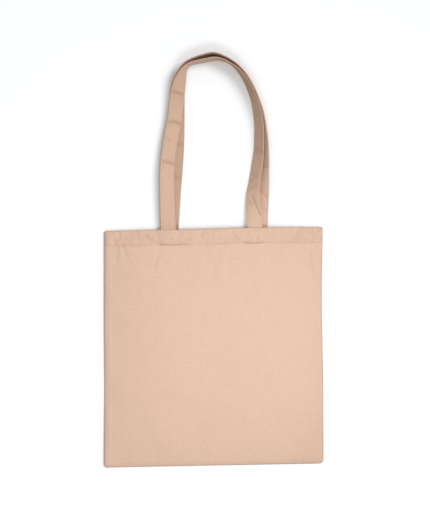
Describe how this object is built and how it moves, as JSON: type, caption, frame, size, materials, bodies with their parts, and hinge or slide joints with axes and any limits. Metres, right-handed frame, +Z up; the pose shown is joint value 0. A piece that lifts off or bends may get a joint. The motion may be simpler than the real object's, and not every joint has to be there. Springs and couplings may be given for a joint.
{
  "type": "tote bag",
  "caption": "Flat unbleached canvas tote bag with an open hemmed mouth and long canvas strap handles, lying on its back panel.",
  "frame": {"origin": "middle of the back panel's outer face, which lies on the table", "axes": "+X to the bag's right, +Y from the bottom seam towards the mouth and the handles, +Z up through the front panel"},
  "size_m": [0.38, 0.7173, 0.0273],
  "materials": {
    "canvas": "matt unbleached plain-weave cotton canvas",
    "strap_canvas": "folded canvas strap, matt, pressed edges",
    "sewing_thread": "tone-on-tone cotton sewing thread",
    "overlock_thread": "loose overlocked edge thread"
  },
  "bodies": {
    "back": {"back_hem_stitch": "sewing_thread", "back_left_tab": "strap_canvas", "back_left_tack": "sewing_thread", "back_panel": "canvas", "back_right_tab": "strap_canvas", "back_right_tack": "sewing_thread", "bottom_overlock": "overlock_thread", "bottom_seam_stitch": "sewing_thread", "left_overlock": "overlock_thread", "left_seam_stitch": "sewing_thread", "right_overlock": "overlock_thread", "right_seam_stitch": "sewing_thread"},
    "front": {"front_hem_stitch": "sewing_thread", "front_left_tab": "strap_canvas", "front_left_tack": "sewing_thread", "front_panel": "canvas", "front_right_tab": "strap_canvas", "front_right_tack": "sewing_thread"},
    "front_handle": {"front_handle": "strap_canvas", "front_handle_inner_stitch": "sewing_thread", "front_handle_outer_stitch": "sewing_thread"},
    "back_handle": {"back_handle": "strap_canvas", "back_handle_inner_stitch": "sewing_thread", "back_handle_outer_stitch": "sewing_thread"}
  },
  "joints": [
    {"name": "mouth_open", "type": "hinge", "parent": "back", "child": "front", "pos_m": [0, -0.2115, 0.0012], "axis": [1, 0, 0], "range_deg": [0, 7]},
    {"name": "front_handle_fold", "type": "hinge", "parent": "front", "child": "front_handle", "pos_m": [0, 0.2085, 0.0102], "axis": [1, 0, 0], "range_deg": [0, 165]},
    {"name": "back_handle_fold", "type": "hinge", "parent": "back", "child": "back_handle", "pos_m": [0, 0.211, 0.0065], "axis": [1, 0, 0], "range_deg": [0, 82.5]}
  ],
  "couplings": [
    {"joint": "back_handle_fold", "follows": "front_handle_fold", "ratio": 0.5}
  ]
}
